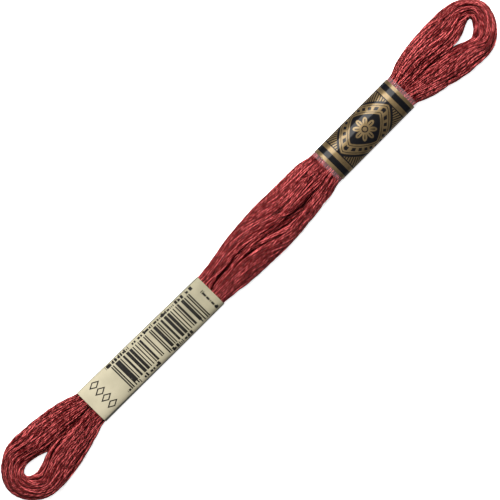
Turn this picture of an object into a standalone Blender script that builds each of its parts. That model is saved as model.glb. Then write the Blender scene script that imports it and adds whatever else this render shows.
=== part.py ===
"""A skein of stranded embroidery floss, held flat by two paper bands.

The floss is one hank: a long ring of thread, wound round and round, whose two runs lie side
by side. The bands squeeze the runs together, and at each end the ring opens into a small eye.
The skein lies along X with its short band towards +X, and rests on z = 0.
"""

import math

import bmesh
import bpy
import numpy as np
from mathutils import Vector

MM = 0.001
COLLECTION = "embroidery_floss_skein"

# ---- driving dimensions, in millimetres -------------------------------------------------
PAPER = 0.5  # the bands' wall, thicker than real paper so that it is a sound solid
CLEAR = 0.3  # air between a band and the floss inside it
SLIT = 0.25  # air between the two runs of the hank, where they lie against each other
SINK = 0.3  # how much of the floss's round underside is pressed flat by the surface
RUN_STEP = 1.9  # length of one facet along the runs
END_STEPS = 15  # sections fanned round each end of the hank
AROUND = 24  # points round one section of the hank
BAND_AROUND = 64  # points round a band

ROUND = 2.2  # superellipse exponent of a loose, nearly round section
FLAT = 7.0  # the same for the side where one run is pressed against the other
LOCKS = 5  # main locks of thread that show as ridges round one run
LOCK_DEPTH = 0.08  # height of those ridges, as a share of the section's size
LOCK_TWIST = math.radians(2.6)  # turn of the locks for each millimetre of run

# The two bands. from_x and to_x are their ends; low and high are the sides at each end;
# height is the top above the surface, and squareness the section's superellipse exponent.
BANDS = {
    "long_label": {
        "from_x": -54.3,
        "to_x": -13.7,
        "low": (-4.95, -5.32),
        "high": (5.10, 4.16),
        "height": 4.6,
        "squareness": 3.6,
    },
    "short_band": {
        "from_x": 27.0,
        "to_x": 53.8,
        "low": (-4.58, -4.62),
        "high": (5.28, 5.16),
        "height": 5.3,
        "squareness": 2.5,
    },
}

# The loose runs between the bands and out to the eyes. low and high are the outer sides,
# eye_low and eye_high the inner sides, equal where the two runs touch.
RUN_COLUMNS = ("x", "low", "eye_low", "eye_high", "high", "top")
RUNS = [
    (-74.5, -8.55, -1.55, 1.42, 8.45, 4.9),
    (-73.4, -8.62, -1.30, 1.28, 8.60, 5.0),
    (-72.0, -8.66, -0.62, 1.02, 8.70, 5.1),
    (-70.8, -8.62, -0.08, 0.76, 8.72, 5.1),
    (-69.4, -8.48, 0.32, 0.32, 8.70, 5.2),
    (-66.7, -8.05, 0.32, 0.32, 8.38, 5.2),
    (-62.8, -7.08, 0.25, 0.25, 7.68, 5.1),
    (-58.9, -5.98, 0.18, 0.18, 6.55, 4.9),
    (-56.0, -5.15, 0.12, 0.12, 5.70, 4.5),
    (-11.8, -5.50, -0.60, -0.60, 4.30, 4.7),
    (-6.8, -6.02, -0.55, -0.55, 4.85, 5.2),
    (-2.9, -6.25, -0.35, -0.35, 5.50, 5.5),
    (3.0, -6.50, -0.20, -0.20, 6.02, 5.8),
    (9.0, -6.62, -0.15, -0.15, 6.30, 5.9),
    (16.6, -6.15, 0.00, 0.00, 6.28, 5.8),
    (21.5, -5.48, 0.20, 0.20, 6.12, 5.6),
    (25.4, -4.92, 0.35, 0.35, 5.62, 5.1),
    (55.4, -5.10, 0.20, 0.20, 5.72, 5.1),
    (60.4, -6.55, 0.00, 0.00, 6.90, 5.4),
    (64.3, -7.55, -0.40, -0.40, 7.50, 5.5),
    (68.2, -8.40, -0.95, -0.95, 7.80, 5.4),
    (71.4, -8.64, -1.42, -1.42, 7.90, 5.2),
    (72.4, -8.67, -2.02, -1.05, 7.84, 5.1),
    (73.4, -8.66, -2.45, -0.55, 7.72, 5.0),
    (74.5, -8.60, -2.60, 0.05, 7.62, 4.9),
]

# The two ends, fanned about the last section of the runs. reach is the distance from there
# to the tip, eye_reach to the end of the eye; rise and eye_rise lift the tip towards +Y, and
# the bluntness is that of the outline's upper and lower half.
ENDS = {
    "left": {
        "reach": 8.65,
        "rise": 0.0,
        "bluntness": (1.8, 1.85),
        "eye_reach": 3.0,
        "eye_rise": 0.15,
        "top": 4.6,
    },
    "right": {
        "reach": 8.65,
        "rise": 1.3,
        "bluntness": (1.6, 2.0),
        "eye_reach": 3.6,
        "eye_rise": 2.2,
        "top": 4.7,
    },
}


def clear_scene():
    for obj in list(bpy.data.objects):
        bpy.data.objects.remove(obj)


def make_collection(name):
    collection = bpy.data.collections.new(name)
    bpy.context.scene.collection.children.link(collection)
    return collection


def make_material(name, colour, roughness, metallic=0.0):
    material = bpy.data.materials.new(name)
    material.use_nodes = True
    shader = material.node_tree.nodes["Principled BSDF"]
    shader.inputs["Base Color"].default_value = (*colour, 1.0)
    shader.inputs["Roughness"].default_value = roughness
    shader.inputs["Metallic"].default_value = metallic
    return material


def signed_power(value, exponent):
    return math.copysign(abs(value) ** exponent, value)


def smooth_column(x, xs, ys):
    """A smooth curve through the table's points, with no overshoot where it levels out."""
    step = np.diff(xs)
    rise = np.diff(ys) / step
    slope = np.empty(len(xs))
    slope[0] = rise[0]
    slope[-1] = rise[-1]
    for i in range(1, len(xs) - 1):
        turns = rise[i - 1] * rise[i] <= 0
        slope[i] = 0.0 if turns else 2 * rise[i - 1] * rise[i] / (rise[i - 1] + rise[i])
    i = int(np.clip(np.searchsorted(xs, x) - 1, 0, len(xs) - 2))
    t = (x - xs[i]) / step[i]
    h00 = (1 + 2 * t) * (1 - t) ** 2
    h10 = t * (1 - t) ** 2
    h01 = t * t * (3 - 2 * t)
    h11 = t * t * (t - 1)
    return h00 * ys[i] + h10 * step[i] * slope[i] + h01 * ys[i + 1] + h11 * step[i] * slope[i + 1]


def inside_band(band):
    """Table rows for the floss where a band squeezes it: clear of the paper all round."""
    wall = PAPER + CLEAR
    rows = []
    for x, end in ((band["from_x"], 0), (band["to_x"], 1)):
        low = band["low"][end] + wall
        high = band["high"][end] - wall
        middle = (low + high) / 2
        rows.append((x, low, middle, middle, high, band["height"] - wall))
    return rows


def run_table():
    rows = list(RUNS)
    for band in BANDS.values():
        rows += inside_band(band)
    return np.array(sorted(rows))


def base_height(x):
    """The underside of the floss: on the surface, but lifted by the paper inside a band."""
    wall = PAPER + CLEAR
    lift = 0.0
    for band in BANDS.values():
        outside = max(band["from_x"] - x, x - band["to_x"], 0.0)
        lift = max(lift, wall * max(0.0, 1 - outside / 1.6))
    return lift


def rung(outer, inner, base, top, pressed, along):
    """One section of a run: its outer and inner side, its heights, how far its inner side is
    pressed flat against the other run, and its place along the hank."""
    return {"outer": outer, "inner": inner, "base": base, "top": top, "pressed": pressed, "along": along}


def sections_of_runs():
    """Sections of both runs at the same places along X, from the left eye to the right one."""
    table = run_table()
    columns = {name: table[:, i] for i, name in enumerate(RUN_COLUMNS)}
    start, end = table[0, 0], table[-1, 0]
    count = round((end - start) / RUN_STEP)
    edges = [x for band in BANDS.values() for x in (band["from_x"], band["to_x"])]
    places = sorted(set(np.linspace(start, end, count + 1)) | set(edges))
    places = [x for x in places if x in edges or min(abs(x - e) for e in edges) > RUN_STEP / 3]
    upper, lower = [], []
    for x in places:
        at = {name: smooth_column(x, columns["x"], ys) for name, ys in columns.items()}
        gap = max(at["eye_high"] - at["eye_low"], SLIT)
        middle = (at["eye_high"] + at["eye_low"]) / 2
        pressed = max(0.0, 1 - (gap - SLIT) / 1.0)
        base = base_height(x)
        upper.append(rung((x, at["high"]), (x, middle + gap / 2), base, at["top"], pressed, x))
        lower.append(rung((x, at["low"]), (x, middle - gap / 2), base, at["top"], pressed, x))
    return upper, lower


def sections_of_end(end, side, upper, lower):
    """Sections fanned round one end, from the upper run to the lower one."""
    x = upper["outer"][0]
    outline_middle = (upper["outer"][1] + lower["outer"][1]) / 2
    eye_middle = (upper["inner"][1] + lower["inner"][1]) / 2
    outline_half = (upper["outer"][1] - lower["outer"][1]) / 2
    eye_half = (upper["inner"][1] - lower["inner"][1]) / 2
    found = []
    for i in range(1, END_STEPS):
        angle = math.pi / 2 - math.pi * i / END_STEPS
        bluntness = end["bluntness"][0 if angle > 0 else 1]
        out_x = abs(math.cos(angle)) ** (2 / bluntness)
        out_y = signed_power(math.sin(angle), 2 / bluntness)
        in_x, in_y = math.cos(angle), math.sin(angle)
        outer = (
            x + side * end["reach"] * out_x,
            outline_middle + outline_half * out_y + end["rise"] * out_x**1.5,
        )
        inner = (
            x + side * end["eye_reach"] * in_x,
            eye_middle + eye_half * in_y + end["eye_rise"] * in_x,
        )
        top = upper["top"] + (end["top"] - upper["top"]) * in_x
        found.append(rung(outer, inner, 0.0, top, 0.0, x + side * 14.0 * i / END_STEPS))
    return found


def ring_of_sections():
    upper, lower = sections_of_runs()
    right = sections_of_end(ENDS["right"], 1, upper[-1], lower[-1])
    left = sections_of_end(ENDS["left"], -1, upper[0], lower[0])
    return upper + right + lower[::-1] + left[::-1]


def held_by_band(x):
    """1 inside a band and 0 well away from it, for easing the locks out under the paper."""
    outside = min(max(b["from_x"] - x, x - b["to_x"], 0.0) for b in BANDS.values())
    return max(0.0, 1 - outside / 6.0)


def section_points(section):
    """The points round one section, counted from the outer side up over the top."""
    outer, inner = Vector(section["outer"]), Vector(section["inner"])
    middle = (outer + inner) / 2
    half = (outer - inner) / 2
    inner_exponent = ROUND + (FLAT - ROUND) * section["pressed"]
    sunk = section["base"] - SINK
    height = section["top"] - sunk
    looseness = 1 - held_by_band(section["along"])
    points = []
    for i in range(AROUND):
        angle = 2 * math.pi * i / AROUND
        exponent = ROUND if math.cos(angle) > 0 else inner_exponent
        across = signed_power(math.cos(angle), 2 / exponent)
        up = signed_power(math.sin(angle), 2 / exponent)
        away_from_other_run = max(0.0, 0.5 + 0.6 * math.cos(angle))
        ridge = 0.5 * math.cos(LOCKS * (angle + LOCK_TWIST * section["along"]))
        scale = 1 + LOCK_DEPTH * looseness * min(1.0, away_from_other_run) * ridge
        place = middle + half * across * scale
        z = max(section["base"], sunk + height * (0.5 + 0.5 * up * scale))
        points.append(Vector((place.x, place.y, z)) * MM)
    return points


def add_object(name, bm, collection, material):
    bmesh.ops.recalc_face_normals(bm, faces=bm.faces)
    mesh = bpy.data.meshes.new(name)
    bm.to_mesh(mesh)
    bm.free()
    mesh.materials.append(material)
    mesh.shade_smooth()
    obj = bpy.data.objects.new(name, mesh)
    collection.objects.link(obj)
    return obj


def bridge(bm, first, second):
    """Quads between two rings of as many vertices."""
    count = len(first)
    for i in range(count):
        j = (i + 1) % count
        bm.faces.new((first[i], first[j], second[j], second[i]))


def make_hank(collection, material):
    """The floss, lofted through its sections and closed on itself."""
    bm = bmesh.new()
    rings = [[bm.verts.new(p) for p in section_points(s)] for s in ring_of_sections()]
    for first, second in zip(rings, rings[1:] + rings[:1]):
        bridge(bm, first, second)
    return add_object("floss_skein", bm, collection, material)


def band_outline(band, end):
    """The outside of a band at one end, with its underside pressed flat on the surface."""
    x = (band["from_x"], band["to_x"])[end]
    low, high = band["low"][end], band["high"][end]
    middle, half = (low + high) / 2, (high - low) / 2
    exponent = 2 / band["squareness"]
    height = band["height"] + SINK
    points = []
    for i in range(BAND_AROUND):
        angle = 2 * math.pi * i / BAND_AROUND
        across = signed_power(math.cos(angle), exponent)
        up = signed_power(math.sin(angle), exponent)
        z = max(0.0, height * (0.5 + 0.5 * up) - SINK)
        points.append(Vector((x, middle + half * across, z)) * MM)
    return points


def make_band(name, band, collection, material):
    """A paper sleeve: its outside is lofted, and Solidify gives it its wall, inwards."""
    bm = bmesh.new()
    rings = [[bm.verts.new(p) for p in band_outline(band, end)] for end in (0, 1)]
    bridge(bm, rings[0], rings[1])
    obj = add_object(name, bm, collection, material)
    wall = obj.modifiers.new("paper_wall", "SOLIDIFY")
    wall.thickness = PAPER * MM
    wall.offset = 1.0 if faces_point_inwards(obj, band) else -1.0
    return obj


def faces_point_inwards(obj, band):
    """An open tube has no inside for Blender to find, so its faces are tested here."""
    face = max(obj.data.polygons, key=lambda f: f.center.z)
    return face.normal.z < 0


def main():
    clear_scene()
    collection = make_collection(COLLECTION)
    floss = make_material("floss", (0.33, 0.030, 0.038), 0.55)
    label = make_material("label_paper", (0.60, 0.55, 0.40), 0.45)
    band = make_material("band_paper", (0.025, 0.022, 0.02), 0.3)
    make_hank(collection, floss)
    make_band("long_label", BANDS["long_label"], collection, label)
    make_band("short_band", BANDS["short_band"], collection, band)


main()
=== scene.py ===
"""The looks of a skein of stranded embroidery floss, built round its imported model.

The floss is wound as a real skein is: one thread of six strands goes round the hank 25 times.
Its turns, and then its strands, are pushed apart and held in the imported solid's sections until
they lie side by side. Only the narrow slit between the two runs is closed, where real floss
presses together. The two bands are thin printed sleeves.
"""

import math

import bmesh
import bpy
import numpy as np
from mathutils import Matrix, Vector
from mathutils.bvhtree import BVHTree


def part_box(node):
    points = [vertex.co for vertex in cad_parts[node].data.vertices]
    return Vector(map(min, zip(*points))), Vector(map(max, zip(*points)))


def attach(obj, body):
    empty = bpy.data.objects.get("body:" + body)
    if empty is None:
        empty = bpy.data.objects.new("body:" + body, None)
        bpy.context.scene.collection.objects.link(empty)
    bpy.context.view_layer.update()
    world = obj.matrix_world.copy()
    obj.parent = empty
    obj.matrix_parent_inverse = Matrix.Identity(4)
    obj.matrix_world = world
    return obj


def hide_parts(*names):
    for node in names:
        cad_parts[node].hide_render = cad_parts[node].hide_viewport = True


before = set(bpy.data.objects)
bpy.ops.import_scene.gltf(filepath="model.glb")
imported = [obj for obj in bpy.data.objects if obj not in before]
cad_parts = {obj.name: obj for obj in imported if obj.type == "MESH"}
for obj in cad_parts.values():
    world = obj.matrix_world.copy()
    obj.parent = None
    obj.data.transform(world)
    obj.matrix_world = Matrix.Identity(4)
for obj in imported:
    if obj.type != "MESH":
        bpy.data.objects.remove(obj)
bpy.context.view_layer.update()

MM = 0.001  # everything below is in millimetres until it becomes a mesh
SEED = 11

# ---- the wound floss ----
TURNS = 25  # 8.45 m of floss, at about 0.34 m for each turn
STRANDS = 6
SECTION_STEP = 1.25  # distance between two sections along a run
FAN_STEPS = 17  # sections fanned round each end
END_INSET = 8.65  # from an end's tip to the place that its sections fan from
MID_HEIGHT = 2.3  # where the hank's sides are found, and where the picture's scale is taken
REACH = 15.0  # further from the middle line than the hank's sides
OVERHEAD = 20.0  # well above the hank
SIDES = 5  # faces round one strand
PIECES = 5  # meshes that the floss is divided into
CAD_SINK = 0.3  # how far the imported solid's round underside is cut by the surface
ROUND = 2.2  # superellipse exponent of a loose section
SMALLEST_HALF = 0.3  # a section is never squeezed to less than this
STRAND_RADII = (0.175, 0.24)  # the least and the most room that a strand takes up
STRAND_FILL = 0.86  # a strand's thickness, as a share of the room that it takes up
FLOSS_PITCH = 17.0  # the strands of a turn go once round each other in this length
PLY_PITCH = 2.4  # a strand's two plies go once round each other in this length
BAND_CLEARANCE = 0.1  # between the floss and a band's paper
BAND_FADE = 2.2  # how far outside a band the floss still narrows into it
MINGLED_TO = 54.0  # the runs' turns mingle only nearer to the middle than this
MINGLED_FADE = 8.0
FIBRES = 360  # loose ones tried for; none is left under the bands
FIBRE_POINTS = 7
FIBRE_RADII = (0.022, 0.012)
FIBRE_CLEAR = 4.0  # how far loose fibres keep from the bands' ends

# How threads settle: the number of rounds, and how strongly each round takes them back to where
# they were laid, straightens them, and pushes neighbours apart.
TURNS_SETTLE = {"rounds": 90, "back": 0.04, "straight": 0.25, "push": 0.28}
STRANDS_SETTLE = {"rounds": 45, "back": 0.12, "straight": 0.12, "push": 0.30}
TURN_MARGIN = 0.28  # from a turn's middle line to the section's edge
STRAND_OVERHANG = 0.08  # how far a strand's room may stand out of the section

# The whole bundle is a little twisted. Its top leans towards the outer side where the angle is
# negative, and towards the inner side where it is positive: (section's x, degrees).
UPPER_LEAN = ((-84, 0), (-72, 38), (-60, 20), (-20, -10), (26, 5), (60, -15), (70, -30), (84, 0))
LOWER_LEAN = ((-84, 0), (-72, -38), (-60, -15), (-20, 10), (26, 0), (60, 20), (70, 25), (84, 0))
# Between the bands the two runs are one bundle, and its top crosses over: (x, degrees).
BOTH_LEAN = ((-56, 0), (-14, -10), (-5, -24), (4, -6), (13, 22), (24, 8), (30, 0), (54, 0))

# ---- the bands ----
PAPER = 0.12
LAP = 3.0  # how far a band's ends lap over each other underneath
BAND_POWER = {"long_label": 3.6, "short_band": 2.5}  # superellipse exponents of their sections
FILM_MARGIN = 1.05  # clear film past the printing, at each end of the short band
BAND_AROUND = 96  # steps round a band
INNER_SIDE = 200.0  # added to v on a band's inner side, to tell it from the printed one

# ---- the long label's printing, from its left end and the middle of its top ----
BARS_FROM = 10.2
MODULE = 0.274  # the thinnest bar
BARS_LOW, BARS_HIGH = -3.05, 3.55
CELL_MODULES = 7  # two bars share a cell
HALF_CELLS = 6
HALVES = (4, 50)  # the modules where the two halves of the pattern begin
GUARDS = (0, 2, 5, 8, 46, 48, 86, 89, 92, 94)  # modules with a thin, longer bar
GUARD_DROP = 0.85  # how much longer
DIAMONDS = [(4.3, 3.25 - 2.10 * i) for i in range(4)]  # middles
DIAMOND_HALF = (1.66, 0.95)
# Rows of small marks: from u, to u, low v, high v, seed.
MARK_ROWS = (
    (9.0, 37.8, 3.78, 4.85, 5),
    (12.9, 19.6, -4.35, -3.25, 19),
    (23.9, 30.6, -4.35, -3.25, 23),
    (9.0, 10.0, -4.05, -3.05, 27),
    (36.6, 37.6, -4.85, -3.85, 35),
)
END_MARKS = (-3.9, 1.9, 38.35, 39.3, 37)  # the same, along v

# ---- the short band's printing, from the nearer end of the printed part ----
STRIPES = ((0.0, 0.9), (2.4, 3.6))
FIELD_FROM = 3.9
FRAME_HALF = (8.2, 7.0)  # half the rhombus frame's size, along and round the band

# ---- the camera ----
FRAME_WIDTH = 121.7  # what the picture takes in, across
AXIS_TILT = math.radians(45.35)  # how the skein lies in the picture
CAMERA_HEIGHT = 900.0
AIM = (-0.05, -0.50)
SENSOR_WIDTH = 36.0


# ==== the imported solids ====


def tree_of(node):
    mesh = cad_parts[node].data
    points = [v.co / MM for v in mesh.vertices]
    return BVHTree.FromPolygons(points, [tuple(p.vertices) for p in mesh.polygons])


TREES = {node: tree_of(node) for node in ("floss_skein", "long_label", "short_band")}


def crossings(tree, start, direction, reach):
    """Distances from start at which a ray passes through the solid's surface."""
    origin, direction = Vector(start), Vector(direction).normalized()
    found, gone, nudge = [], 0.0, 2e-3
    while gone < reach:
        place, _, _, far = tree.ray_cast(origin + direction * gone, direction, reach - gone)
        if place is None:
            break
        found.append(gone + far)
        gone += far + nudge
    return found


def box_mm(node):
    low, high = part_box(node)
    return low / MM, high / MM


def upright(tree, x, y):
    """The lowest and highest point of the solid above a place on the surface."""
    down = crossings(tree, (x, y, OVERHEAD), (0, 0, -1), 2 * OVERHEAD)
    return OVERHEAD - down[-1], OVERHEAD - down[0]


def cut_across(tree, x):
    """Every y at which the solid's surface is crossed at x, at mid height, from the highest."""
    hits = crossings(tree, (x, REACH, MID_HEIGHT), (0, -1, 0), 2 * REACH)
    return [REACH - hit for hit in hits]


def band_sides(node, x):
    """A band's outside at x: its two sides and its top."""
    tree = TREES[node]
    low, high = box_mm(node)
    x = min(max(x, low.x + 0.02), high.x - 0.02)
    sides = cut_across(tree, x)
    return sides[-1], sides[0], upright(tree, x, (sides[0] + sides[-1]) / 2)[1]


def run_sections():
    """Both runs of the hank, cut at the same places along X."""
    tree = TREES["floss_skein"]
    low, high = box_mm("floss_skein")
    start, end = low.x + END_INSET, high.x - END_INSET
    count = round((end - start) / SECTION_STEP)
    rows = []
    for x in np.linspace(start, end, count + 1):
        sides = cut_across(tree, x)
        outer_high, outer_low = sides[0], sides[-1]
        inner = sides[1:-1] or [(outer_high + outer_low) / 2]
        eye_high, eye_low = inner[0], inner[-1]
        base, top = 0.0, 0.0
        for a, b in ((outer_high, eye_high), (outer_low, eye_low)):
            under, over = upright(tree, x, (a + b) / 2)
            base, top = base + under / 2, top + over / 2
        rows.append((x, outer_low, eye_low, eye_high, outer_high, base, top))
    return np.array(rows)


def fill_the_bands(rows):
    """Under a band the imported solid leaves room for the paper. Real floss fills the sleeve, so
    there the section is the band's own outside, less the paper."""
    rows = np.concatenate([rows, np.full((len(rows), 1), ROUND)], 1)
    for node in ("long_label", "short_band"):
        low, high = box_mm(node)
        for row in rows:
            outside = max(low.x - row[0], row[0] - high.x, 0.0)
            share = max(0.0, 1 - outside / BAND_FADE)
            if share == 0:
                continue
            y_low, y_high, top = band_sides(node, row[0])
            wall = PAPER + BAND_CLEARANCE
            target = np.array([y_low + wall, y_high - wall, wall, top - wall, BAND_POWER[node]])
            row[[1, 4, 5, 6, 7]] += share * (target - row[[1, 4, 5, 6, 7]])
    return rows


def fan_sections(rows, side):
    """One end of the hank, cut by planes fanned from the eye."""
    tree = TREES["floss_skein"]
    row = rows[-1] if side > 0 else rows[0]
    x, middle = row[0], (row[2] + row[3]) / 2
    found = []
    for i in range(1, FAN_STEPS):
        angle = math.pi / 2 - math.pi * i / FAN_STEPS
        way = Vector((side * math.cos(angle), math.sin(angle), 0))
        hits = crossings(tree, (x, middle, MID_HEIGHT), way, REACH)
        inner, outer = hits[0], hits[-1]
        centre = Vector((x, middle, 0)) + way * (inner + outer) / 2
        base, top = upright(tree, centre.x, centre.y)
        far_side = x + way.x * outer, middle + way.y * outer
        near_side = x + way.x * inner, middle + way.y * inner
        found.append((*far_side, *near_side, base, top))
    return found


def press_runs(rows):
    """How far the runs are pressed on each other, from 0 to 1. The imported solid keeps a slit
    between them, which is closed here, because real runs press into each other."""
    gap = rows[:, 3] - rows[:, 2]
    pressed = np.clip(1.6 - gap / 0.8, 0, 1)
    closing = np.clip((0.9 - gap) / 0.3, 0, 1) * (gap / 2 + 0.2)
    rows[:, 2] += closing
    rows[:, 3] -= closing
    return np.convolve(np.pad(pressed, 2, "edge"), np.ones(5) / 5, "valid")


def ring_sections():
    """Every section once round the hank, starting under the long label, where both ends of the
    floss are tucked away. A row holds outer x, y, inner x, y, base, top, how far the run is
    pressed on the other one, its superellipse exponent, and the middle and half width of both
    runs together."""
    rows = fill_the_bands(run_sections())
    pressed = press_runs(rows)
    x, power = rows[:, 0], rows[:, 7]
    middle, half = (rows[:, 4] + rows[:, 1]) / 2, (rows[:, 4] - rows[:, 1]) / 2
    shared = [rows[:, 5], rows[:, 6], pressed, power, middle, half]
    high = np.stack([x, rows[:, 4], x, rows[:, 3], *shared], 1)
    low = np.stack([x, rows[:, 1], x, rows[:, 2], *shared], 1)
    right = np.array([(*f, 0.0, ROUND, 0.0, 1.0) for f in fan_sections(rows, 1)])
    left = np.array([(*f, 0.0, ROUND, 0.0, 1.0) for f in fan_sections(rows, -1)])
    label_low, label_high = box_mm("long_label")
    first = int(np.argmin(abs(x - (label_low.x + label_high.x) / 2)))
    ring = np.concatenate([high[first:], right, low[::-1], left[::-1], high[:first]])
    count, total = len(x), len(ring)
    upper = np.concatenate([np.arange(total - first, total), np.arange(count - first)])
    lower = (count - first) + len(right) + np.arange(count)[::-1]
    for column in (4, 5):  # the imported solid's ridges are left to the strands themselves
        wide = np.concatenate([ring[-2:, column], ring[:, column], ring[:2, column]])
        ring[:, column] = np.convolve(wide, np.ones(5) / 5, "valid")
    return ring, upper, lower


# ==== winding the floss ====


class Hank:
    """The sections as arrays. A thread crosses section i at (q, z): q runs from the inner side
    to the outer one, and z up. The first axis of positions is the section, the second the
    thread's turn."""

    def __init__(self):
        self.ring, self.upper, self.lower = ring_sections()
        ring = self.ring
        across = ring[:, 0:2] - ring[:, 2:4]
        self.width = np.linalg.norm(across, axis=1)
        self.way = across / self.width[:, None]
        self.half = self.width / 2
        self.base, self.top = ring[:, 4], ring[:, 5]
        bottom = self.base - CAD_SINK
        self.rise = (self.top - bottom) / 2
        self.level = (self.top + bottom) / 2
        self.pressed, self.power = ring[:, 6], ring[:, 7]
        self.count = len(ring)
        side = np.zeros(self.count)
        side[self.upper], side[self.lower] = 1.0, -1.0
        self.side = side
        # In both runs' frame, a thread at q is at middle_q + side * y.
        self.both_half = np.where(side != 0, ring[:, 9], self.half)
        self.both_middle = np.where(side != 0, side * (ring[:, 8] - ring[:, 3]), self.half)
        area = math.pi * self.half * self.rise * 0.95  # less what the surface cuts off
        self.spacing = np.sqrt(area / TURNS * 0.94 * 4 / math.pi)
        thick = np.sqrt(area / (TURNS * STRANDS) * 0.82 * 4 / math.pi) / 2
        self.radius = np.clip(thick, *STRAND_RADII)

    def fit(self, values, at):
        """One value for each section, ready to be used with positions."""
        return values.reshape((-1,) + (1,) * (at.ndim - 2))

    def to_unit(self, at):
        q = at[..., 0] / self.fit(self.half, at) - 1
        z = (at[..., 1] - self.fit(self.level, at)) / self.fit(self.rise, at)
        return np.stack([q, z], -1)

    def from_unit(self, unit):
        q = (unit[..., 0] + 1) * self.fit(self.half, unit)
        z = unit[..., 1] * self.fit(self.rise, unit) + self.fit(self.level, unit)
        return np.stack([q, z], -1)

    def held_in(self, at, margin, middle, half, power):
        """The nearest place, along the line to the middle, inside a superellipse."""
        half = self.fit(np.maximum(half - margin, SMALLEST_HALF), at)
        rise = self.fit(np.maximum(self.rise - margin, SMALLEST_HALF), at)
        power = self.fit(power, at)
        dq = at[..., 0] - self.fit(middle, at)
        dz = at[..., 1] - self.fit(self.level, at)
        far = (abs(dq) / half) ** power + (abs(dz) / rise) ** power
        scale = np.where(far > 1, np.maximum(far, 1) ** (-1 / power), 1.0)
        floor = self.fit(self.base, at) + self.fit(margin, at)
        z = np.maximum(self.fit(self.level, at) + dz * scale, floor)
        return np.stack([self.fit(middle, at) + dq * scale, z], -1)

    def contain(self, at, margin):
        """Moves every point that is outside back to the edge, less a margin: of its own run's
        section where the runs are apart, and of both runs' section where they touch."""
        margin = np.broadcast_to(margin, self.count)
        alone = self.held_in(at, margin, self.half, self.half, np.full(self.count, ROUND))
        both = self.held_in(at, margin, self.both_middle, self.both_half, self.power)
        share = self.fit(self.pressed, at)[..., None]
        return alone + share * (both - alone)

    def turned(self, at, degrees, middle, half):
        """The bundle turned about its middle, in the unit circle that its section stands for."""
        angle = self.fit(np.radians(degrees), at)
        cos, sin = np.cos(angle), np.sin(angle)
        middle, half = self.fit(middle, at), self.fit(half, at)
        level, rise = self.fit(self.level, at), self.fit(self.rise, at)
        q, z = (at[..., 0] - middle) / half, (at[..., 1] - level) / rise
        new_q = middle + (q * cos - z * sin) * half
        new_z = level + (q * sin + z * cos) * rise
        return np.stack([new_q, new_z], -1)

    def leaned(self, at):
        """The bundle with all of its slow twists."""
        x = (self.ring[:, 0] + self.ring[:, 2]) / 2
        in_fan = self.side == 0
        is_lower = (self.side < 0) | (in_fan & (self.ring[:, 1] < self.ring[:, 3]))
        own = np.where(is_lower, smooth_table(LOWER_LEAN, x), smooth_table(UPPER_LEAN, x))
        at = self.turned(at, own * (1 - 0.6 * self.pressed), self.half, self.half)
        both = smooth_table(BOTH_LEAN, x) * self.pressed * self.side
        return self.turned(at, both, self.both_middle, self.both_half)

    def to_space(self, at):
        """Positions in the scene, in millimetres."""
        x = self.fit(self.ring[:, 2], at) + self.fit(self.way[:, 0], at) * at[..., 0]
        y = self.fit(self.ring[:, 3], at) + self.fit(self.way[:, 1], at) * at[..., 0]
        return np.stack([x, y, at[..., 1]], -1)


def smooth_table(table, x):
    """Values between a table's rows, with no sharp bends."""
    places, values = np.array(table, float).T
    fine = np.linspace(places[0], places[-1], 400)
    step = fine[1] - fine[0]
    wide = max(3, int(7 / step) | 1)
    window = np.hanning(wide + 2)[1:-1]
    level = np.interp(fine, places, values)
    level = np.convolve(np.pad(level, wide // 2, "edge"), window / window.sum(), "valid")
    return np.interp(x, fine, level)


def as_thread(at):
    """(section, turn, ...) to one row for each place along the whole thread."""
    return np.swapaxes(at, 0, 1).reshape(-1, *at.shape[2:])


def as_sections(thread, count):
    return np.swapaxes(thread.reshape(-1, count, *thread.shape[1:]), 0, 1)


def straighten(at, hank, share):
    """A thread doesn't kink: each point moves towards the middle of its two neighbours."""
    thread = as_thread(hank.to_unit(at))
    middle = (thread[:-2] + thread[2:]) / 2
    thread[1:-1] += share * (middle - thread[1:-1])
    return hank.from_unit(as_sections(thread, hank.count))


def push_apart(points, distance, share):
    """points is (section, threads, 2), and distance one value for each section. Returns how far
    each point moves so that no two centres are nearer than that."""
    apart = points[:, :, None, :] - points[:, None, :, :]
    far = np.sqrt((apart**2).sum(-1)) + 1e-6
    need = np.clip(distance[:, None, None] - far, 0, None)
    index = np.arange(points.shape[1])
    need[:, index, index] = 0
    return (apart * (need / far)[..., None]).sum(2) * share


def spread(at, hank, distance, share):
    """Pushes threads apart. Where the runs touch, both are in one section."""
    flat = at.reshape(hank.count, -1, 2).astype(np.float32)
    moved = np.zeros_like(flat)
    high, low = flat[hank.upper].copy(), flat[hank.lower].copy()
    high[..., 0] = hank.ring[hank.upper, 3][:, None] + high[..., 0]
    low[..., 0] = hank.ring[hank.lower, 3][:, None] - low[..., 0]
    distance = distance.astype(np.float32)
    both = push_apart(np.concatenate([high, low], 1), distance[hank.upper], share)
    size = flat.shape[1]
    moved[hank.upper] = both[:, :size]
    moved[hank.lower] = both[:, size:] * np.array([-1, 1], np.float32)
    ends = np.setdiff1d(np.arange(hank.count), np.concatenate([hank.upper, hank.lower]))
    moved[ends] = push_apart(flat[ends], distance[ends], share)
    return at + moved.reshape(at.shape)


def settle(rest, hank, distance, margin, rounds, back, straight, push):
    """Threads laid at rest, held in their sections until they lie side by side."""
    at = rest.copy()
    for _ in range(rounds):
        at = at + back * (rest - at)
        at = straighten(at, hank, straight)
        at = spread(at, hank, distance, push)
        at = hank.contain(at, margin)
    return at


def wander(rng, count, waves, size):
    """A slow, smooth drift along the thread, in two directions."""
    along = np.linspace(0, 1, count)
    drift = np.zeros((count, 2))
    for wave in waves:
        angle = rng.uniform(0, 2 * math.pi, 2)
        drift += np.cos(2 * math.pi * wave * along[:, None] + angle) / math.sqrt(len(waves))
    return drift * size


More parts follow.
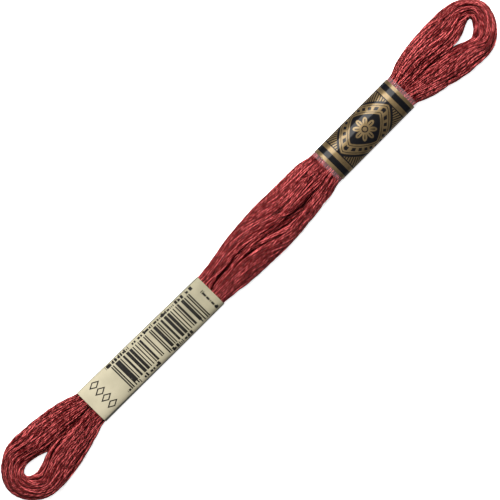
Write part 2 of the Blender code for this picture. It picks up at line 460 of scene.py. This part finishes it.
def lay_turns(hank, rng):
    """The middle lines of the turns, one for each time that the thread goes round."""
    order = rng.permutation(TURNS)
    total = hank.count * TURNS
    start = np.empty((TURNS, 2))
    for turn, slot in enumerate(order):
        angle, far = slot * math.pi * (3 - math.sqrt(5)), math.sqrt((slot + 0.5) / TURNS)
        start[turn] = far * math.cos(angle), far * math.sin(angle)
    unit = np.repeat(start[:, None, :], hank.count, 1).reshape(total, 2) * 0.9
    restless = 0.5 + 0.5 * np.tanh(wander(rng, total, rng.uniform(0.4, 1.5, 4) * TURNS, 2.0)[:, :1])
    unit += wander(rng, total, rng.uniform(1.0, 4.5, 7) * TURNS, 0.42) * restless
    # Where the runs are one bundle, their turns mingle.
    mingled = wander(rng, total, rng.uniform(2.0, 5.0, 5) * TURNS, 0.85)[:, 0]
    x = (hank.ring[:, 0] + hank.ring[:, 2]) / 2
    mingling = hank.pressed * np.clip((MINGLED_TO - abs(x)) / MINGLED_FADE, 0, 1)
    unit[:, 0] += mingled * np.resize(mingling, total)
    rest = hank.leaned(hank.from_unit(as_sections(unit, hank.count)))
    return settle(rest, hank, hank.spacing, TURN_MARGIN, **TURNS_SETTLE)


def lay_strands(hank, middle, rng):
    """The strands of each turn: one along its middle line, and the rest loosely round it."""
    total = hank.count * TURNS
    along = np.arange(total) * SECTION_STEP
    slow = wander(rng, total, rng.uniform(0.5, 3.0, 4) * TURNS, 2.5)[:, 0]
    turning = as_sections((2 * math.pi * along / FLOSS_PITCH + slow)[:, None], hank.count)[..., 0]
    rest = np.zeros((*middle.shape[:2], STRANDS, 2))
    out = (hank.spacing * 0.34)[:, None]
    for strand in range(1, STRANDS):
        angle = turning + 2 * math.pi * strand / (STRANDS - 1)
        rest[:, :, strand, 0] = out * np.cos(angle)
        rest[:, :, strand, 1] = out * np.sin(angle)
    for strand in range(STRANDS):
        drift = wander(rng, total, rng.uniform(3, 12, 6) * TURNS, 0.09)
        rest[:, :, strand] += as_sections(drift, hank.count)
    rest = middle[:, :, None, :] + rest
    margin = hank.radius - STRAND_OVERHANG
    return settle(rest, hank, 2.0 * hank.radius, margin, **STRANDS_SETTLE)


def painted_shade_sides(hank, strands):
    """How far each of a strand's sides is shut in by other strands, from 0 to 1: how much shade is
    painted on that side.
    """
    flat = strands.reshape(hank.count, -1, 2).astype(np.float32)
    size = flat.shape[1]
    angle = 2 * math.pi * np.arange(SIDES) / SIDES
    painted_shade_amount = np.zeros((hank.count, size, SIDES), np.float32)
    for i in range(hank.count):
        near = [flat[i]]
        if hank.side[i] != 0 and hank.pressed[i] > 0:
            other = hank.lower[hank.upper == i] if hank.side[i] > 0 else hank.upper[hank.lower == i]
            gap = hank.side[i] * (hank.ring[other[0], 3] - hank.ring[i, 3])
            near.append(np.stack([gap - flat[other[0], :, 0], flat[other[0], :, 1]], -1))
        near = np.concatenate(near)
        away = near[None] - flat[i][:, None]
        far = np.sqrt((away**2).sum(-1)) + 1e-6
        close = np.clip(1.9 - far / (2 * hank.radius[i]), 0, 0.9)
        close[np.arange(size), np.arange(size)] = 0
        for side in range(SIDES):
            # A mesh's sides are counted from the thread's right, which is the hank's inner side.
            way = -math.cos(angle[side]), math.sin(angle[side])
            facing = np.clip((away[..., 0] * way[0] + away[..., 1] * way[1]) / far, 0, 1)
            painted_shade_amount[i, :, side] = (close * facing**2).sum(1)
    return np.clip(painted_shade_amount, 0, 1.4).reshape(*strands.shape[:3], SIDES) / 1.4


# ==== making meshes ====


def link(obj):
    bpy.context.scene.collection.objects.link(obj)
    return obj


def mesh_object(name, points, faces, material):
    """points in millimetres."""
    mesh = bpy.data.meshes.new(name)
    mesh.from_pydata((np.asarray(points) * MM).tolist(), [], faces)
    mesh.materials.append(material)
    mesh.shade_smooth()
    return link(bpy.data.objects.new(name, mesh))


def tube_rings(path, radius):
    """Rings of points round a path that runs more or less level."""
    ahead = np.gradient(path, axis=0)
    ahead /= np.linalg.norm(ahead, axis=1)[:, None]
    aside = np.cross(ahead, (0.0, 0.0, 1.0))
    aside /= np.linalg.norm(aside, axis=1)[:, None]
    above = np.cross(aside, ahead)
    angle = 2 * math.pi * np.arange(SIDES) / SIDES
    ring = np.cos(angle)[None, :, None] * aside[:, None]
    ring = ring + np.sin(angle)[None, :, None] * above[:, None]
    return path[:, None] + radius[:, None, None] * ring


def thread_uvs(path, ring, side, offset):
    """The UV corners of each face of one strand."""
    along = np.concatenate([[0], np.cumsum(np.linalg.norm(np.diff(path, axis=0), axis=1))])
    along += offset
    s0, s1 = along[ring], along[ring + 1]
    r0, r1 = side / SIDES, (side + 1) / SIDES
    corners = [(s0, r0), (s1, r0), (s1, r1), (s0, r1)]
    return np.stack([np.stack(corner, -1) for corner in corners], -2).reshape(-1, 2)


def strands_mesh(name, paths, radii, painted_sheens, painted_shade_amount, material):
    """One mesh of several strands. UV map thread holds millimetres along a strand and the share
    of the way round it. Attribute tone holds painted sheen, and hidden the painted shade of each
    side."""
    points, quads, caps, thread_uv, shade = [], [], [], [], []
    for path, radius, painted_sheen in zip(paths, radii, painted_sheens):
        first = sum(len(p) for p in points)
        rings = tube_rings(path, radius)
        count = len(path)
        points.append(rings.reshape(-1, 3))
        shade.append(np.repeat(painted_sheen, SIDES))
        ring, side = np.meshgrid(np.arange(count - 1), np.arange(SIDES), indexing="ij")
        after = (side + 1) % SIDES
        a = first + ring * SIDES + side
        b = first + ring * SIDES + after
        quads.append(np.stack([a, a + SIDES, b + SIDES, b], -1).reshape(-1, 4))
        offset = 50.0 * len(points)  # so that neighbours aren't alike
        thread_uv.append(thread_uvs(path, ring, side, offset))
        last = first + (count - 1) * SIDES
        caps.append([first + i for i in range(SIDES)])
        caps.append([last + i for i in reversed(range(SIDES))])
    points, quads = np.concatenate(points), np.concatenate(quads)
    faces = quads.tolist() + caps
    obj = mesh_object(name, points, faces, material)
    mesh = obj.data
    cap_loops = sum(len(c) for c in caps)
    uv = np.concatenate([np.concatenate(thread_uv), np.zeros((cap_loops, 2))])
    layer = mesh.uv_layers.new(name="thread")
    layer.uv.foreach_set("vector", uv.astype(np.float32).ravel())
    values = {"painted_sheen": np.concatenate(shade), "painted_shade_amount": np.concatenate(painted_shade_amount).ravel()}
    for kind, value in values.items():
        attribute = mesh.attributes.new(kind, "FLOAT", "POINT")
        attribute.data.foreach_set("value", value.astype(np.float32))
    return obj


def make_floss(material):
    """The thread, laid round the hank and divided into a few meshes, and its loose fibres."""
    rng = np.random.default_rng(SEED)
    hank = Hank()
    middle = lay_turns(hank, rng)
    strands = lay_strands(hank, middle, rng)
    # How much shade to paint on each strand's sides, from how far neighbours shut them in.
    painted_shade_share = painted_shade_sides(hank, strands)
    space = hank.to_space(strands)
    threads = [as_thread(space[:, :, i]) for i in range(STRANDS)]
    painted_shade_share = [as_thread(painted_shade_share[:, :, i]) for i in range(STRANDS)]
    for thread in threads:
        thread[1:-1] = (thread[:-2] + 2 * thread[1:-1] + thread[2:]) / 4
    length = np.linalg.norm(np.diff(as_thread(hank.to_space(middle)), axis=0), axis=1).sum()
    print(f"floss wound: {length / 1000:.2f} m in {TURNS} turns, {hank.count} sections")
    total = hank.count * TURNS
    share = total // PIECES
    waves = np.array([0.6, 1.7, 3.1, 5.3]) * TURNS
    for piece in range(PIECES):
        cut = slice(piece * share, min((piece + 1) * share + 1, total))
        paths = [t[cut] for t in threads]
        count = len(paths[0])
        thick = STRAND_FILL * np.resize(hank.radius, total)[cut]
        radii = [thick * (1 + 0.05 * wander(rng, count, [11, 23, 37], 1.0)[:, 0]) for _ in paths]
        # Painted sheen: each strand is drawn lighter and darker along its length, though all
        # strands are one colour.
        painted_sheens = [wander(rng, count, waves, 0.7)[:, 0] for _ in paths]
        painted_shade_amount = [h[cut] for h in painted_shade_share]
        obj = strands_mesh(f"floss_turns_{piece + 1}", paths, radii, painted_sheens, painted_shade_amount, material)
        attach(obj, "root")
        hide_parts("floss_skein")
    make_fibres(hank, strands, space, rng, material)


def make_fibres(hank, strands, space, rng, material):
    """Fine loose fibres that stand off the outermost strands."""
    flat = hank.to_unit(strands).reshape(hank.count, -1, 2)
    places = space.reshape(hank.count, -1, 3)
    paths = []
    bands = [box_mm(name) for name in BAND_POWER]
    for section in rng.integers(4, hank.count - 4, FIBRES):
        x = hank.ring[section, 0]
        if any(low.x - FIBRE_CLEAR < x < high.x + FIBRE_CLEAR for low, high in bands):
            continue
        far = np.linalg.norm(flat[section], axis=1)
        outer = np.argsort(far * (flat[section][:, 0] > -0.2))[-12:]
        thread = rng.choice(outer)
        start = places[section, thread]
        ahead = places[section + 1, thread] - places[section - 1, thread]
        ahead /= np.linalg.norm(ahead) * rng.choice([-1, 1])
        q, z = flat[section, thread] / far[thread]
        out = np.array([*(hank.way[section] * q), abs(z)])
        t = np.linspace(0, 1, FIBRE_POINTS)[:, None]
        length, rise = rng.uniform(0.8, 2.6), rng.uniform(0.15, 0.55)
        paths.append(start + length * (ahead * t + out * rise * np.sin(t * rng.uniform(1.2, 2.4))))
    radii = [np.linspace(*FIBRE_RADII, FIBRE_POINTS)] * len(paths)
    painted_sheens = [np.full(FIBRE_POINTS, 0.5)] * len(paths)
    painted_shade_amount = [np.zeros((FIBRE_POINTS, SIDES))] * len(paths)
    obj = strands_mesh("floss_fibres", paths, radii, painted_sheens, painted_shade_amount, material)
    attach(obj, "root")


# ==== bands ====


def girth_of(tree, x, middle, level, count):
    """Points round a band's outside at x, from its underside and back, counted from +Y's side."""
    points = []
    for i in range(count):
        angle = -math.pi / 2 + 2 * math.pi * i / count
        way = Vector((0, math.cos(angle), math.sin(angle)))
        hits = crossings(tree, (x, middle, level), way, REACH)
        points.append((middle + way.y * hits[-1], level + way.z * hits[-1]))
    return np.array(points)


def even_steps(points, step_count):
    """The closed outline in even steps along it, and its length."""
    closed = np.concatenate([points, points[:1]])
    along = np.concatenate([[0], np.cumsum(np.linalg.norm(np.diff(closed, axis=0), axis=1))])
    places = np.linspace(0, along[-1], step_count + 1)[:-1]
    return np.stack([np.interp(places, along, closed[:, i]) for i in range(2)], 1), along[-1]


def outward(points):
    """Unit normals of a closed outline that runs anticlockwise."""
    ahead = np.roll(points, -1, 0) - np.roll(points, 1, 0)
    normal = np.stack([ahead[:, 1], -ahead[:, 0]], 1)
    return normal / np.linalg.norm(normal, axis=1)[:, None]


def sleeve_rings(node, stations, dents):
    """A sleeve's outside: for each station the places round it, its normals and the distance
    round it, measured from the top. The last places lap over the first ones, underneath."""
    tree = TREES[node]
    low, high = box_mm(node)
    middle, level = (low.y + high.y) / 2, (low.z + high.z) / 2
    rings = []
    for x in stations:
        inside = min(max(x, low.x + 0.05), high.x - 0.05)
        outline = girth_of(tree, inside, middle, level, 3 * BAND_AROUND)
        points, length = even_steps(outline, BAND_AROUND)
        normal = outward(points)
        lap = round(LAP / length * BAND_AROUND)
        place = np.arange(BAND_AROUND + lap + 1)
        index = place % BAND_AROUND
        under = np.clip((lap + 3 - place) / 3, 0, 1)
        inset = under * PAPER * 1.1 + 0.02 + dents(x, index / BAND_AROUND * length)
        ring = points[index] - normal[index] * inset[:, None]
        ring[:, 1] = np.maximum(ring[:, 1], under * PAPER * 1.1)
        v = (0.5 - place / BAND_AROUND) * length
        rings.append((x, ring, normal[index], v))
    return rings


def sheet_faces(rows, count):
    """A closed sheet of rows of count points: its outside, its inside and its four edges."""
    half = rows * count
    faces = []
    for i in range(rows - 1):
        for k in range(count - 1):
            a = i * count + k
            quad = (a, a + count, a + count + 1, a + 1)
            faces.append(quad)
            faces.append(tuple(half + p for p in reversed(quad)))
    for i in range(rows - 1):
        a, b = i * count, (i + 1) * count
        faces.append((a, half + a, half + b, b))
        a, b = a + count - 1, b + count - 1
        faces.append((a, b, half + b, half + a))
    last = (rows - 1) * count
    for k in range(count - 1):
        faces.append((k, k + 1, half + k + 1, half + k))
        faces.append((last + k, half + last + k, half + last + k + 1, last + k + 1))
    return faces


def make_sleeve(name, node, material, stations, dents):
    """A thick sheet round the hank, lapped underneath."""
    rings = sleeve_rings(node, stations, dents)
    points, uv = [], []
    for wall in (0.0, PAPER):
        for x, ring, normal, v in rings:
            place = ring - normal * wall
            points += [(x, p[0], p[1]) for p in place]
            uv += [(x - stations[0], value + (INNER_SIDE if wall else 0.0)) for value in v]
    faces = sheet_faces(len(rings), len(rings[0][1]))
    obj = mesh_object(name, points, faces, material)
    layer = obj.data.uv_layers.new(name="sheet")
    corner = np.array([loop.vertex_index for loop in obj.data.loops])
    layer.uv.foreach_set("vector", np.array(uv, np.float32)[corner].ravel())
    sharpen_cut_edges(obj)
    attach(obj, "root")
    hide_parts(node)


def sharpen_cut_edges(obj):
    """The cut edges stay sharp when the sheet is shaded smooth."""
    mesh = obj.data
    bm = bmesh.new()
    bm.from_mesh(mesh)
    for edge in bm.edges:
        if len(edge.link_faces) == 2 and edge.calc_face_angle() > 1.0:
            edge.smooth = False
    bm.to_mesh(mesh)
    bm.free()


def ripple(seed, size, lengths):
    """A smooth, irregular height over a sheet."""
    rng = np.random.default_rng(seed)
    waves, count = [], 7
    for _ in range(count):
        along, around = rng.uniform(0.6, 1.4), rng.uniform(0.6, 1.4)
        waves.append((along / lengths[0], around / lengths[1]))
    phases = rng.uniform(0, 2 * math.pi, (count, 2))

    def height(x, v):
        total = np.zeros_like(v)
        for (a, b), (p, q) in zip(waves, phases):
            total += np.cos(2 * math.pi * a * x + p) * np.cos(2 * math.pi * b * v + q)
        return size * (0.5 + total / (2 * count))

    return height


def make_band(name, node, make_material, steps, dents):
    low, high = box_mm(node)
    stations = np.linspace(low.x, high.x, steps + 1)
    make_sleeve(name, node, make_material(high.x - low.x), stations, dents)


# ==== materials ====


class Shader:
    """Builds a material's nodes from short calls."""

    def __init__(self, name):
        self.material = bpy.data.materials.new(name)
        self.material.use_nodes = True
        self.tree = self.material.node_tree
        self.surface = self.tree.nodes["Principled BSDF"]

    def node(self, kind, inputs=None, **settings):
        node = self.tree.nodes.new(kind)
        for name, value in settings.items():
            setattr(node, name, value)
        for name, value in (inputs or {}).items():
            self.feed(node.inputs[name], value)
        return node

    def feed(self, socket, value):
        if isinstance(value, bpy.types.NodeSocket):
            self.tree.links.new(value, socket)
        else:
            socket.default_value = value

    def math(self, operation, *values, clamp=False):
        node = self.node("ShaderNodeMath", operation=operation, use_clamp=clamp)
        for i, value in enumerate(values):
            self.feed(node.inputs[i], value)
        return node.outputs[0]

    def mix(self, share, first, second):
        node = self.node("ShaderNodeMix", data_type="RGBA")
        self.feed(node.inputs[0], share)
        self.feed(node.inputs[6], first)
        self.feed(node.inputs[7], second)
        return node.outputs[2]

    def uv(self, name):
        node = self.node("ShaderNodeUVMap", uv_map=name)
        parts = self.node("ShaderNodeSeparateXYZ", {"Vector": node.outputs[0]})
        return parts.outputs[0], parts.outputs[1]

    def noise(self, scale, detail, roughness=0.5, vector=None):
        if vector is None:
            vector = self.node("ShaderNodeTexCoord").outputs["Object"]
        inputs = {"Vector": vector, "Scale": scale, "Detail": detail, "Roughness": roughness}
        return self.node("ShaderNodeTexNoise", inputs).outputs[0]

    def random(self, value):
        """A random number from 0 to 1 for each value."""
        node = self.node("ShaderNodeTexWhiteNoise", {"W": value}, noise_dimensions="1D")
        return node.outputs[0]

    def edge(self, value, at, width):
        """0 below at and 1 above it, with a soft step as wide as ink spreads."""
        inputs = {"Value": value, "From Min": at - width / 2, "From Max": at + width / 2}
        return self.node("ShaderNodeMapRange", inputs, interpolation_type="SMOOTHSTEP").outputs[0]

    def ramp(self, value, at, width):
        """edge, for a place that is itself worked out."""
        shifted = self.math("SUBTRACT", value, at)
        return self.edge(shifted, 0.0, width)

    def inverse(self, share):
        return self.math("SUBTRACT", 1.0, share)

    def between(self, value, low, high, width=0.06):
        """1 from low to high and 0 elsewhere."""
        above = self.edge(value, low, width)
        return self.math("MULTIPLY", above, self.inverse(self.edge(value, high, width)))

    def bump(self, height, distance, strength):
        inputs = {"Height": height, "Distance": distance, "Strength": strength}
        self.feed(self.surface.inputs["Normal"], self.node("ShaderNodeBump", inputs).outputs[0])

    def set(self, **values):
        for name, value in values.items():
            self.feed(self.surface.inputs[name.replace("_", " ")], value)


def place_on_ply(s, along, lay, lengthwise, crosswise):
    """A place on a strand's surface, scaled so that a noise there is longer than it is wide."""
    return s.node("ShaderNodeCombineXYZ", {
        "X": s.math("MULTIPLY", along, lengthwise),
        "Y": s.math("MULTIPLY", s.math("COSINE", lay), crosswise),
        "Z": s.math("MULTIPLY", s.math("SINE", lay), crosswise),
    }).outputs[0]


def floss_material():
    """Mercerised cotton. Each strand is two plies twisted round each other, of fibres that lie
    along the plies. Light and shade are painted into its colour: a painted sheen runs it from dark
    crimson to a salmon highlight, and painted shade darkens the hollows between plies and the
    sides that other strands shut in."""
    s = Shader("floss_cotton")
    along, around = s.uv("thread")
    twist = s.math("SUBTRACT", around, s.math("DIVIDE", along, PLY_PITCH))
    lay = s.math("MULTIPLY", twist, 2 * math.pi)
    ply = s.math("ABSOLUTE", s.math("COSINE", lay))
    crest = s.math("POWER", ply, 0.9)
    painted_sheen = s.node("ShaderNodeAttribute", attribute_name="painted_sheen").outputs["Fac"]
    painted_shade_amount = s.node("ShaderNodeAttribute", attribute_name="painted_shade_amount").outputs["Fac"]
    fine = place_on_ply(s, along, lay, 0.8, 1.5)
    # The fibre noise feeds both the bump and the painted sheen.
    fibres = s.edge(s.noise(1.6, 3.0, 0.65, fine), 0.5, 0.45)
    coarse = place_on_ply(s, along, lay, 0.3, 0.3)
    painted_sheen_streaks = s.edge(s.noise(1.0, 2.0, 0.6, coarse), 0.5, 0.35)
    # Painted sheen and glints: the tone, the fibre noise and the streak noise run the colour from
    # dark crimson to a salmon highlight.
    shade = s.math("ADD", s.math("MULTIPLY", painted_sheen, 0.65), s.math("MULTIPLY", fibres, 0.35))
    shade = s.math("ADD", shade, s.math("MULTIPLY", painted_sheen_streaks, 1.2))
    shade = s.math("SUBTRACT", shade, 0.36, clamp=True)
    body = s.mix(shade, (0.13, 0.001, 0.004, 1), (1.0, 0.17, 0.17, 1))
    # Painted shade in the hollows between a strand's two plies.
    painted_groove_shade = s.mix(s.math("POWER", crest, 0.6), (0.09, 0.001, 0.003, 1), body)
    # Painted shade: a side that other strands shut in is darkened to near black.
    painted_shade_share = s.math("MULTIPLY", s.edge(painted_shade_amount, 0.34, 0.44), 0.97)
    colour_with_painted_shade = s.mix(painted_shade_share, painted_groove_shade, (0.02, 0.0002, 0.0005, 1))
    s.set(Base_Color=colour_with_painted_shade, Roughness=0.30, IOR=1.7)
    s.set(Specular_IOR_Level=0.8, Specular_Tint=(1.0, 0.24, 0.22, 1))
    height = s.math("ADD", crest, s.math("MULTIPLY", fibres, 0.6))
    s.bump(height, 0.00016, 1.0)
    return s.material


def combined(s, operation, shares):
    total = shares[0]
    for share in shares[1:]:
        total = s.math(operation, total, share)
    return total


def any_of(s, shares):
    """1 where any of the shares is."""
    return combined(s, "MAXIMUM", shares)


def all_of(s, shares):
    """1 where all of the shares are."""
    return combined(s, "MULTIPLY", shares)


def random_bits(s, place, module, seed, share):
    """1 or 0 for each module of a row, at random: a share of them is 1."""
    cell = s.math("ADD", s.math("FLOOR", s.math("DIVIDE", place, module)), seed)
    return s.math("LESS_THAN", s.random(cell), share)


def oval(s, u, v, place, size, power):
    """Below 1 inside a superellipse."""
    a = s.math("ABSOLUTE", s.math("DIVIDE", s.math("SUBTRACT", u, place[0]), size[0]))
    b = s.math("ABSOLUTE", s.math("DIVIDE", s.math("SUBTRACT", v, place[1]), size[1]))
    total = s.math("ADD", s.math("POWER", a, power), s.math("POWER", b, power))
    return s.math("POWER", total, 1 / power)


def one_bar(s, across, start, end):
    """1 from start to just past end, where both are themselves worked out."""
    soft = 0.15
    past_end = s.ramp(across, s.math("ADD", end, soft), soft)
    return s.math("MULTIPLY", s.ramp(across, start, soft), s.inverse(past_end))


def bar_pattern(s, place):
    """Two bars of random widths in each cell, as a printed code has, but standing for
    nothing."""
    cell = s.math("DIVIDE", place, MODULE * CELL_MODULES)
    index = s.math("FLOOR", cell)
    across = s.math("MULTIPLY", s.math("FRACT", cell), float(CELL_MODULES))
    whole = []  # random whole widths: the space before each bar, and what it has past a module
    for seed, most in ((3.0, 1.4), (17.0, 2.6), (29.0, 1.6), (41.0, 2.6)):
        drawn = s.random(s.math("ADD", index, seed))
        whole.append(s.math("FLOOR", s.math("MULTIPLY", drawn, most)))
    start = whole[0]
    end = s.math("ADD", s.math("ADD", start, 1.0), whole[1])
    second = s.math("ADD", s.math("ADD", end, 1.0), whole[2])
    second_end = s.math("ADD", s.math("ADD", second, 1.0), whole[3])
    bars = any_of(s, [one_bar(s, across, start, end), one_bar(s, across, second, second_end)])
    inside = s.between(place, 0.0, HALF_CELLS * CELL_MODULES * MODULE, 0.03)
    return s.math("MULTIPLY", bars, inside)


def small_marks(s, along, across, start, end, low, high, seed):
    """A line of small meaningless strokes, as fine print looks from a distance."""
    inside = all_of(s, [s.between(along, start, end, 0.05), s.between(across, low, high, 0.05)])
    strokes = random_bits(s, along, 0.24, seed, 0.60)
    middle = (low + high) / 2
    tall = random_bits(s, along, 0.63, seed + 40, 0.4)
    body = s.between(across, low + 0.12, middle + 0.18, 0.06)
    reach = s.between(across, low, high, 0.06)
    shape = s.math("MAXIMUM", body, s.math("MULTIPLY", reach, tall))
    gaps = random_bits(s, along, 0.72, seed + 80, 0.93)
    return all_of(s, [inside, strokes, shape, gaps])


def label_ink(s, u, v):
    """Where the long label is printed."""
    halves = [bar_pattern(s, s.math("SUBTRACT", u, BARS_FROM + n * MODULE)) for n in HALVES]
    bars = all_of(s, [any_of(s, halves), s.between(v, BARS_LOW, BARS_HIGH)])
    guards = []
    for first in GUARDS:
        at = BARS_FROM + first * MODULE
        guards.append(s.between(u, at, at + MODULE * 1.3, 0.04))
    guard = all_of(s, [any_of(s, guards), s.between(v, BARS_LOW - GUARD_DROP, BARS_HIGH)])
    diamonds = []
    for middle in DIAMONDS:
        shape = oval(s, u, v, middle, DIAMOND_HALF, 1.0)
        diamonds.append(s.between(shape, 0.64, 1.0, 0.06))
    rows = [small_marks(s, u, v, *row) for row in MARK_ROWS]
    return any_of(s, [bars, guard, *rows, small_marks(s, v, u, *END_MARKS), *diamonds])


def long_label_material(length):
    """Cream paper printed in black, with a matt finish. u runs along the skein from the label's
    left end, and v round it from its top, both in millimetres."""
    s = Shader("label_print")
    u, v = s.uv("sheet")
    worn = s.edge(s.noise(1900.0, 3.0), 0.34, 0.10)
    strength = s.math("ADD", 0.86, s.math("MULTIPLY", worn, 0.14))
    ink = s.math("MULTIPLY", label_ink(s, u, v), strength)
    cloudy = s.math("MULTIPLY", s.noise(130.0, 3.0, 0.55), 0.9)
    # Painted shade: the cream darkens towards the label's right end, away from the light; cloudy
    # mottles it.
    shade = s.math("ADD", cloudy, s.math("DIVIDE", u, length * 2.4), clamp=True)
    cream = s.mix(shade, (0.53, 0.475, 0.34, 1), (0.25, 0.228, 0.15, 1))
    fleck = s.edge(s.noise(2600.0, 1.0), 0.68, 0.05)
    cream = s.mix(s.math("MULTIPLY", fleck, 0.25), cream, (0.34, 0.31, 0.22, 1))
    # Painted shade: dark strips along both long sides, where the label curves down into shadow.
    side = any_of(s, [s.between(v, 5.15, 5.7, 0.2), s.between(v, -5.7, -4.75, 0.3)])
    cream = s.mix(s.math("MULTIPLY", side, 0.85), cream, (0.06, 0.07, 0.06, 1))
    s.set(Base_Color=s.mix(ink, cream, (0.005, 0.004, 0.003, 1)), Roughness=0.6)
    s.set(Specular_IOR_Level=0.2)
    s.bump(s.noise(1500.0, 3.0), 0.00002, 0.5)
    return s.material


def rhombus_frame(s, outline, angle):
    """The gold of the frame, with a thin black line inside each of its edges and black beads
    between them. outline is 1 at its outer edge."""
    field = s.between(outline, 0.60, 1.0, 0.02)
    lines = [s.between(outline, 0.92, 0.945, 0.012), s.between(outline, 0.655, 0.68, 0.012)]
    off_path = s.math("ABSOLUTE", s.math("SUBTRACT", outline, 0.80))
    on_path = s.inverse(s.edge(off_path, 0.065, 0.03))
    bead = s.edge(s.math("COSINE", s.math("MULTIPLY", angle, 22.0)), -0.15, 0.5)
    beads = s.math("MULTIPLY", on_path, bead)
    return s.math("MULTIPLY", field, s.inverse(any_of(s, [*lines, beads])))


def flower(s, across, v, angle):
    """The gold of an eight-petalled flower with a round heart."""
    radius = oval(s, across, v, (0, 0), (1.0, 1.0), 2.0)
    lobes = s.math("ABSOLUTE", s.math("COSINE", s.math("MULTIPLY", angle, 4.0)))
    reach = s.math("ADD", 1.05, s.math("MULTIPLY", s.math("POWER", lobes, 0.7), 1.95))
    within = s.inverse(s.edge(s.math("SUBTRACT", radius, reach), 0.0, 0.10))
    vein = all_of(s, [s.edge(lobes, 0.975, 0.02), s.between(radius, 1.3, 2.5, 0.10)])
    petals = all_of(s, [within, s.edge(radius, 0.85, 0.08), s.inverse(vein)])
    heart = s.inverse(s.edge(radius, 0.55, 0.08))
    return any_of(s, [petals, heart])


def band_gold(s, u, v, length):
    """Where the short band is printed in gold."""
    end = s.math("MINIMUM", u, s.math("SUBTRACT", length, u))  # from the nearer end
    stripes = [s.between(end, FILM_MARGIN + low, FILM_MARGIN + high) for low, high in STRIPES]
    across = s.math("SUBTRACT", u, length / 2)
    outline = oval(s, across, v, (0, 0), FRAME_HALF, 1.25)
    angle = s.math("ARCTAN2", v, across)
    rays = s.math("COSINE", s.math("MULTIPLY", angle, 84.0))
    field = s.edge(end, FILM_MARGIN + FIELD_FROM, 0.06)
    corners = all_of(s, [field, s.between(outline, 1.09, 1.55, 0.02), s.edge(rays, -0.2, 0.5)])
    rim = all_of(s, [field, s.between(outline, 1.60, 1.66, 0.015)])
    frame_gold = rhombus_frame(s, outline, angle)
    return any_of(s, [*stripes, frame_gold, flower(s, across, v, angle), corners, rim])


def short_band_material(length):
    """Glossy black foil with gold printing. u runs along the skein from the band's left end,
    film margin included, and v round it from its top."""
    s = Shader("band_print")
    u, v = s.uv("sheet")
    printed = s.between(u, FILM_MARGIN, length - FILM_MARGIN, 0.05)
    outside = s.math("LESS_THAN", v, INNER_SIDE / 2)
    gold = all_of(s, [band_gold(s, u, v, length), printed, outside])
    speck = s.edge(s.noise(2100.0, 2.0), 0.36, 0.08)
    gold = s.math("MULTIPLY", gold, s.math("ADD", 0.8, s.math("MULTIPLY", speck, 0.2)))
    leaf = s.mix(s.noise(420.0, 3.0), (0.075, 0.048, 0.018, 1), (0.24, 0.17, 0.085, 1))
    colour = s.mix(gold, (0.003, 0.003, 0.004, 1), leaf)
    # The clear film past the printing is drawn faintly pinkish grey: a painted glare on the film.
    colour = s.mix(printed, (0.55, 0.36, 0.38, 1), colour)
    s.set(Base_Color=colour, Metallic=s.math("MULTIPLY", gold, 0.7), Roughness=0.30)
    s.set(Specular_IOR_Level=0.06, Coat_Weight=0.34, Coat_Roughness=0.03)
    s.set(Alpha=s.math("MAXIMUM", printed, 0.08))
    s.bump(s.noise(500.0, 2.0), 0.00003, 0.25)
    return s.material


# ==== the studio ====


def make_floor():
    """A pale floor that the camera sees as white, and that lights the skein from below no more
    than grey paper would."""
    s = Shader("floor_white")
    seen = s.node("ShaderNodeLightPath").outputs["Is Camera Ray"]
    s.set(Base_Color=s.mix(seen, (0.35, 0.35, 0.35, 1), (0.86, 0.86, 0.86, 1)), Roughness=0.9)
    s.set(Emission_Color=(1, 1, 1, 1), Emission_Strength=s.math("MULTIPLY", seen, 0.9))
    size = 3000.0
    corners = [(-size, -size, 0), (size, -size, 0), (size, size, 0), (-size, size, 0)]
    floor = mesh_object("studio_floor", corners, [(0, 1, 2, 3)], s.material)
    floor.location.z = -0.05 * MM  # clear of the paper's underside


def area_light(name, place, aim, size, power):
    """place, aim and size in millimetres."""
    data = bpy.data.lights.new(name, "AREA")
    data.shape = "RECTANGLE"
    data.size, data.size_y = size[0] * MM, size[1] * MM
    data.energy = power
    obj = link(bpy.data.objects.new(name, data))
    obj.location = Vector(place) * MM
    way = Vector(aim) - Vector(place)
    obj.rotation_euler = way.to_track_quat("-Z", "Y").to_euler()


def make_lights():
    world = bpy.data.worlds.new("studio_world")
    bpy.context.scene.world = world
    world.use_nodes = True
    sky = world.node_tree.nodes["Background"]
    sky.inputs["Color"].default_value = (1, 1, 1, 1)
    sky.inputs["Strength"].default_value = 0.14
    area_light("softbox", (70, 240, 650), (0, 0, 0), (520, 300), 3.4)
    area_light("key", (330, 300, 400), (10, 0, 0), (110, 110), 5.8)


def make_camera():
    data = bpy.data.cameras.new("camera")
    data.sensor_width = SENSOR_WIDTH
    data.lens = SENSOR_WIDTH * (CAMERA_HEIGHT - MID_HEIGHT) / FRAME_WIDTH
    data.clip_start, data.clip_end = 0.01, 10.0
    camera = link(bpy.data.objects.new("camera", data))
    camera.location = Vector((AIM[0], AIM[1], CAMERA_HEIGHT)) * MM
    camera.rotation_euler = (0, 0, -AXIS_TILT)
    bpy.context.scene.camera = camera


def main():
    bpy.context.scene.view_settings.view_transform = "Standard"
    make_camera()
    make_lights()
    make_floor()
    make_floss(floss_material())
    dents = ripple(3, 0.06, (16.0, 7.0))
    make_band("label_sleeve", "long_label", long_label_material, 64, dents)
    dents = ripple(8, 0.06, (13.0, 6.0))
    make_band("band_sleeve", "short_band", short_band_material, 50, dents)


main()
